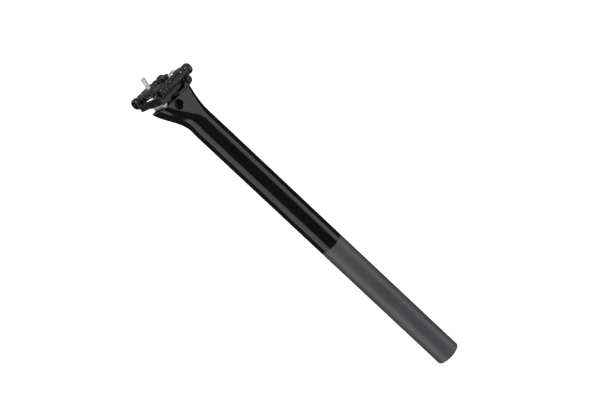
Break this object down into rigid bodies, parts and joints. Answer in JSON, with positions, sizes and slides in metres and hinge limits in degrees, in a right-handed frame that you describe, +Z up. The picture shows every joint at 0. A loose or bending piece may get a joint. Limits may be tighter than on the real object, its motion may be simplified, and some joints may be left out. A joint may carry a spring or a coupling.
{
  "type": "suspension seatpost",
  "caption": "Round seatpost with a flared head, a short-travel elastomer rocker and a bolted clamp for round saddle rails.",
  "frame": {"origin": "centre of the post's bottom end, on the post's axis", "axes": "+Z up the post, +X to the front of the bicycle, +Y to its left"},
  "size_m": [0.0515, 0.0554, 0.4359],
  "materials": {
    "carbon_shell": "gloss clear coat above, satin on the insertion zone",
    "black_alloy": "satin black anodised",
    "brown_alloy": "satin dark brown anodised",
    "bright_steel": "bright turned",
    "black_steel": "black oxide",
    "elastomer": "matt rubber",
    "bush_polymer": "dull polymer"
  },
  "bodies": {
    "post": {"post_tube": "carbon_shell", "head_insert": "black_alloy", "pivot_bush_right": "bush_polymer", "pivot_bush_left": "bush_polymer", "elastomer_roller": "elastomer", "stop_pin": "bright_steel", "bottom_pad": "elastomer"},
    "rocker": {"rocker": "black_alloy", "pivot_barrel": "black_alloy", "pivot_screws": "black_steel", "rear_barrel": "bright_steel", "rear_bolt": "bright_steel"},
    "clamp": {"lower_cradle": "black_alloy", "upper_jaw_left": "black_alloy", "upper_jaw_right": "black_alloy", "rear_bridge": "brown_alloy", "front_bridge": "black_alloy"},
    "front_bolt": {"front_bolt": "bright_steel", "front_washer": "bright_steel"},
    "rear_nut": {"rear_nut": "bright_steel"}
  },
  "joints": [
    {"name": "rocker_pivot", "type": "hinge", "parent": "post", "child": "rocker", "pos_m": [0.01813, 0, 0.39928], "axis": [0, -1, 0], "range_deg": [0, 4], "stiffness_Nm_per_rad": 250, "deforming": ["elastomer_roller"]},
    {"name": "saddle_tilt", "type": "hinge", "parent": "rocker", "child": "clamp", "pos_m": [-0.00137, 0, 0.41385], "axis": [0, 1, 0], "range_deg": [-4, 4]},
    {"name": "front_bolt_travel", "type": "slide", "parent": "rocker", "child": "front_bolt", "axis": [-0.0349, 0, 0.9994], "range_m": [-0.00133, 0.00133]},
    {"name": "rear_nut_travel", "type": "slide", "parent": "rocker", "child": "rear_nut", "axis": [0.289, 0, 0.9573], "range_m": [-0.00099, 0.00099]}
  ],
  "couplings": [
    {"joint": "front_bolt_travel", "follows": "saddle_tilt", "m_per_rad": -0.0189},
    {"joint": "rear_nut_travel", "follows": "saddle_tilt", "m_per_rad": 0.01405}
  ]
}
